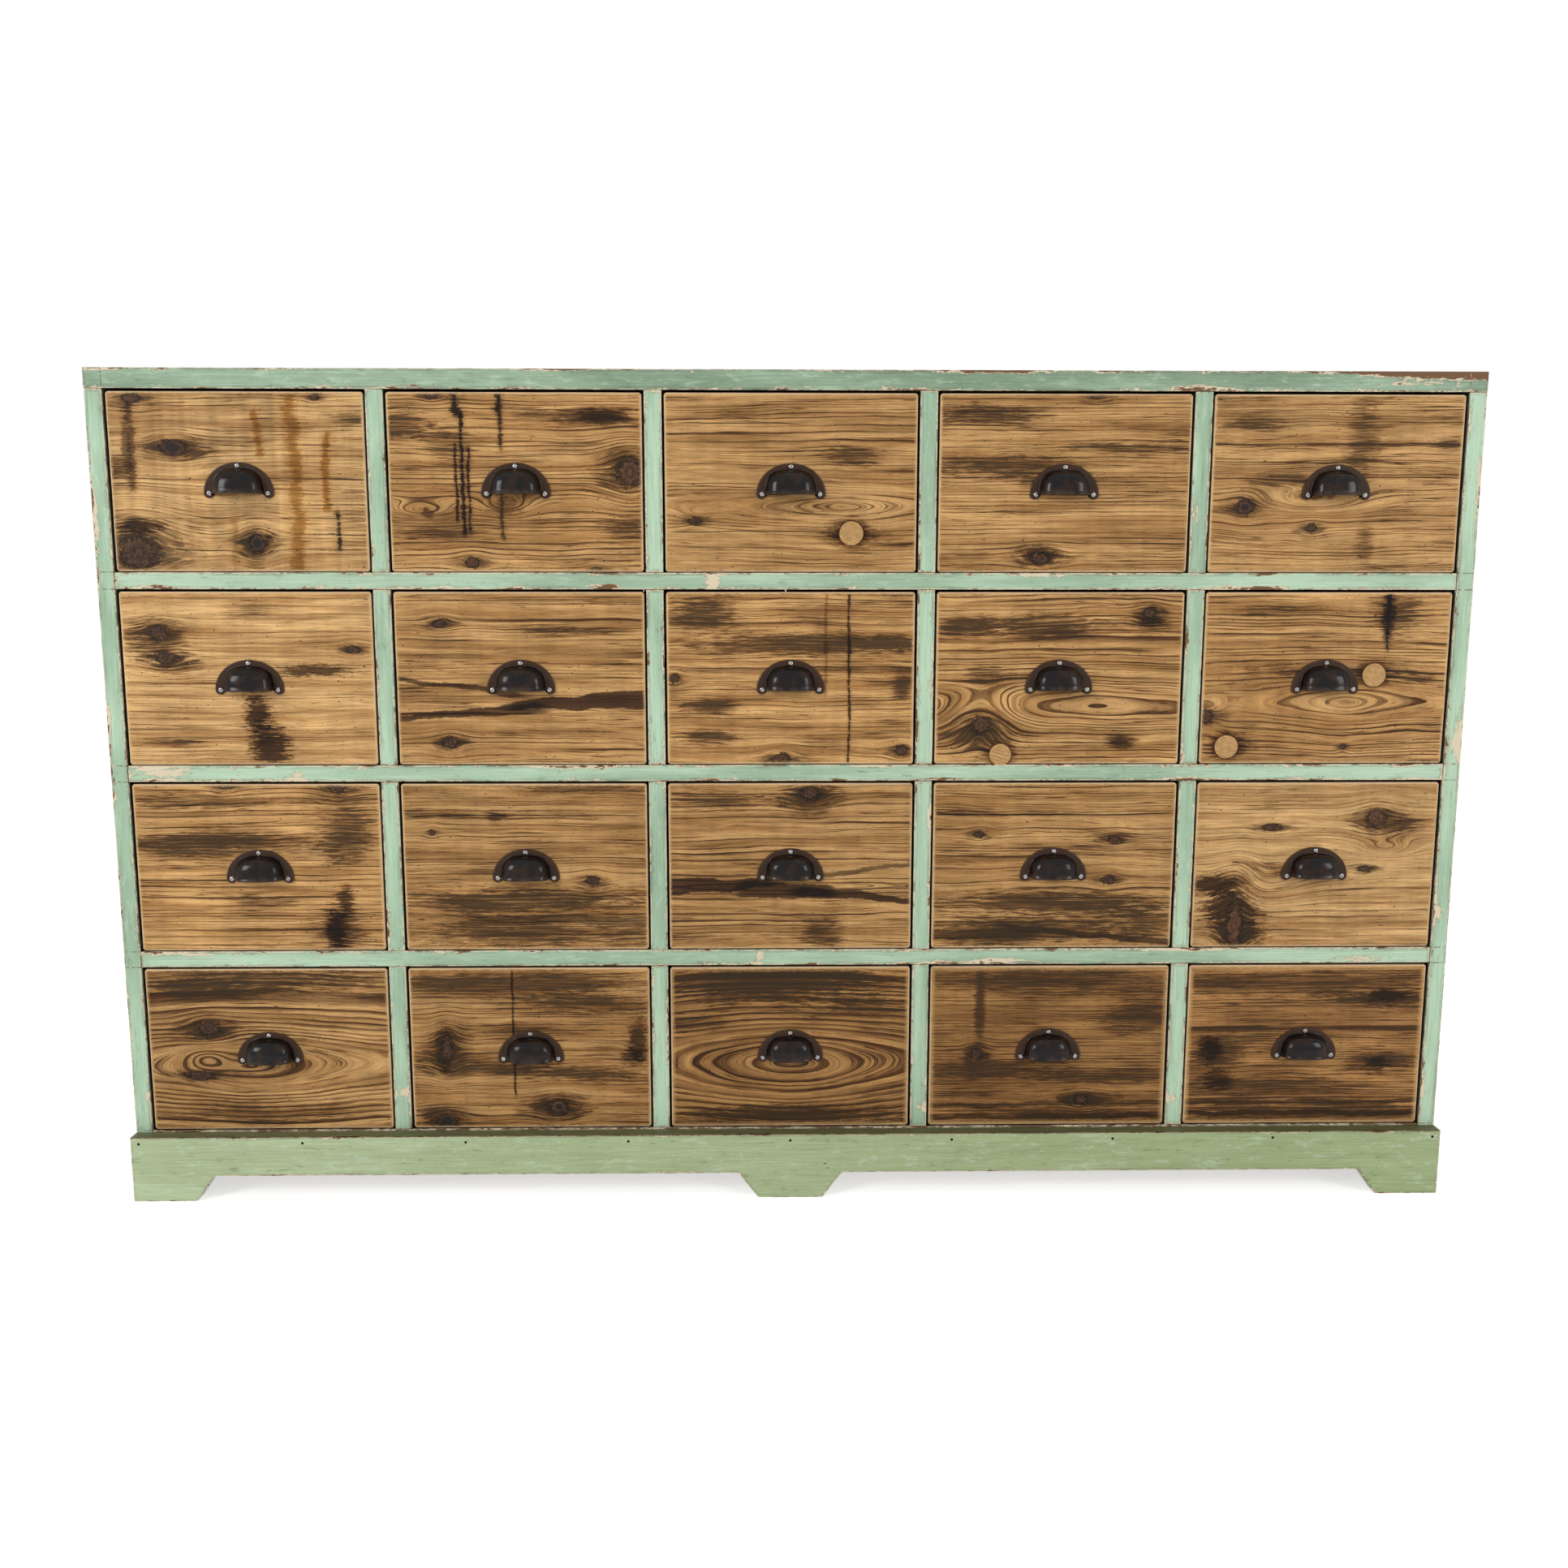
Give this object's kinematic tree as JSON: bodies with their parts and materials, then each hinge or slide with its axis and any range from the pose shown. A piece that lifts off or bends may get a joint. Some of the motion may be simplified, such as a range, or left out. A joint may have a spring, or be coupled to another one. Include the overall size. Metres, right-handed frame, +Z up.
{
  "type": "seed storage cabinet",
  "caption": "Wide floor-standing painted pine cabinet on an arched plinth, with a grid of sliding pine drawers, each with a cast half-oval cup pull.",
  "frame": {"origin": "middle of the cabinet's footprint, plinth and pulls included, on the floor", "axes": "+X to the right seen from the front, +Y from the front to the back, +Z up"},
  "size_m": [1.9, 0.4222, 1.173],
  "materials": {
    "mint_paint": "worn mint green paint over cream primer, satin",
    "sage_paint": "worn sage green paint, satin",
    "aged_pine": "bare aged pine, dull",
    "plain_pine": "bare pine, dull",
    "aged_bronze": "aged bronze, semi-gloss",
    "nail_iron": "dull iron"
  },
  "bodies": {
    "carcass": {"top_board": "mint_paint", "left_side": "mint_paint", "right_side": "mint_paint", "shelf_1": "mint_paint", "shelf_2": "mint_paint", "shelf_3": "mint_paint", "dividers_row_1": "mint_paint", "dividers_row_2": "mint_paint", "dividers_row_3": "mint_paint", "dividers_row_4": "mint_paint", "bottom_board": "mint_paint", "back_boards": "plain_pine", "plinth_front": "sage_paint", "centre_bearer": "plain_pine", "plinth_blocks": "plain_pine", "drawer_stops": "plain_pine", "side_nails": "nail_iron", "top_nails": "nail_iron", "back_nails": "nail_iron", "plinth_nails": "nail_iron"},
    "slider_r1c1": {"drawer_r1c1": "aged_pine", "pull_r1c1": "aged_bronze"},
    "slider_r1c2": {"drawer_r1c2": "aged_pine", "pull_r1c2": "aged_bronze"},
    "slider_r1c3": {"drawer_r1c3": "aged_pine", "pull_r1c3": "aged_bronze"},
    "slider_r1c4": {"drawer_r1c4": "aged_pine", "pull_r1c4": "aged_bronze"},
    "slider_r1c5": {"drawer_r1c5": "aged_pine", "pull_r1c5": "aged_bronze"},
    "slider_r2c1": {"drawer_r2c1": "aged_pine", "pull_r2c1": "aged_bronze"},
    "slider_r2c2": {"drawer_r2c2": "aged_pine", "pull_r2c2": "aged_bronze"},
    "slider_r2c3": {"drawer_r2c3": "aged_pine", "pull_r2c3": "aged_bronze"},
    "slider_r2c4": {"drawer_r2c4": "aged_pine", "pull_r2c4": "aged_bronze"},
    "slider_r2c5": {"drawer_r2c5": "aged_pine", "pull_r2c5": "aged_bronze"},
    "slider_r3c1": {"drawer_r3c1": "aged_pine", "pull_r3c1": "aged_bronze"},
    "slider_r3c2": {"drawer_r3c2": "aged_pine", "pull_r3c2": "aged_bronze"},
    "slider_r3c3": {"drawer_r3c3": "aged_pine", "pull_r3c3": "aged_bronze"},
    "slider_r3c4": {"drawer_r3c4": "aged_pine", "pull_r3c4": "aged_bronze"},
    "slider_r3c5": {"drawer_r3c5": "aged_pine", "pull_r3c5": "aged_bronze"},
    "slider_r4c1": {"drawer_r4c1": "aged_pine", "pull_r4c1": "aged_bronze"},
    "slider_r4c2": {"drawer_r4c2": "aged_pine", "pull_r4c2": "aged_bronze"},
    "slider_r4c3": {"drawer_r4c3": "aged_pine", "pull_r4c3": "aged_bronze"},
    "slider_r4c4": {"drawer_r4c4": "aged_pine", "pull_r4c4": "aged_bronze"},
    "slider_r4c5": {"drawer_r4c5": "aged_pine", "pull_r4c5": "aged_bronze"}
  },
  "joints": [
    {"name": "slide_r1c1", "type": "slide", "parent": "carcass", "child": "slider_r1c1", "axis": [0, -1, 0], "range_m": [0, 0.3]},
    {"name": "slide_r1c2", "type": "slide", "parent": "carcass", "child": "slider_r1c2", "axis": [0, -1, 0], "range_m": [0, 0.3]},
    {"name": "slide_r1c3", "type": "slide", "parent": "carcass", "child": "slider_r1c3", "axis": [0, -1, 0], "range_m": [0, 0.3]},
    {"name": "slide_r1c4", "type": "slide", "parent": "carcass", "child": "slider_r1c4", "axis": [0, -1, 0], "range_m": [0, 0.3]},
    {"name": "slide_r1c5", "type": "slide", "parent": "carcass", "child": "slider_r1c5", "axis": [0, -1, 0], "range_m": [0, 0.3]},
    {"name": "slide_r2c1", "type": "slide", "parent": "carcass", "child": "slider_r2c1", "axis": [0, -1, 0], "range_m": [0, 0.3]},
    {"name": "slide_r2c2", "type": "slide", "parent": "carcass", "child": "slider_r2c2", "axis": [0, -1, 0], "range_m": [0, 0.3]},
    {"name": "slide_r2c3", "type": "slide", "parent": "carcass", "child": "slider_r2c3", "axis": [0, -1, 0], "range_m": [0, 0.3]},
    {"name": "slide_r2c4", "type": "slide", "parent": "carcass", "child": "slider_r2c4", "axis": [0, -1, 0], "range_m": [0, 0.3]},
    {"name": "slide_r2c5", "type": "slide", "parent": "carcass", "child": "slider_r2c5", "axis": [0, -1, 0], "range_m": [0, 0.3]},
    {"name": "slide_r3c1", "type": "slide", "parent": "carcass", "child": "slider_r3c1", "axis": [0, -1, 0], "range_m": [0, 0.3]},
    {"name": "slide_r3c2", "type": "slide", "parent": "carcass", "child": "slider_r3c2", "axis": [0, -1, 0], "range_m": [0, 0.3]},
    {"name": "slide_r3c3", "type": "slide", "parent": "carcass", "child": "slider_r3c3", "axis": [0, -1, 0], "range_m": [0, 0.3]},
    {"name": "slide_r3c4", "type": "slide", "parent": "carcass", "child": "slider_r3c4", "axis": [0, -1, 0], "range_m": [0, 0.3]},
    {"name": "slide_r3c5", "type": "slide", "parent": "carcass", "child": "slider_r3c5", "axis": [0, -1, 0], "range_m": [0, 0.3]},
    {"name": "slide_r4c1", "type": "slide", "parent": "carcass", "child": "slider_r4c1", "axis": [0, -1, 0], "range_m": [0, 0.3]},
    {"name": "slide_r4c2", "type": "slide", "parent": "carcass", "child": "slider_r4c2", "axis": [0, -1, 0], "range_m": [0, 0.3]},
    {"name": "slide_r4c3", "type": "slide", "parent": "carcass", "child": "slider_r4c3", "axis": [0, -1, 0], "range_m": [0, 0.3]},
    {"name": "slide_r4c4", "type": "slide", "parent": "carcass", "child": "slider_r4c4", "axis": [0, -1, 0], "range_m": [0, 0.3]},
    {"name": "slide_r4c5", "type": "slide", "parent": "carcass", "child": "slider_r4c5", "axis": [0, -1, 0], "range_m": [0, 0.3]}
  ]
}
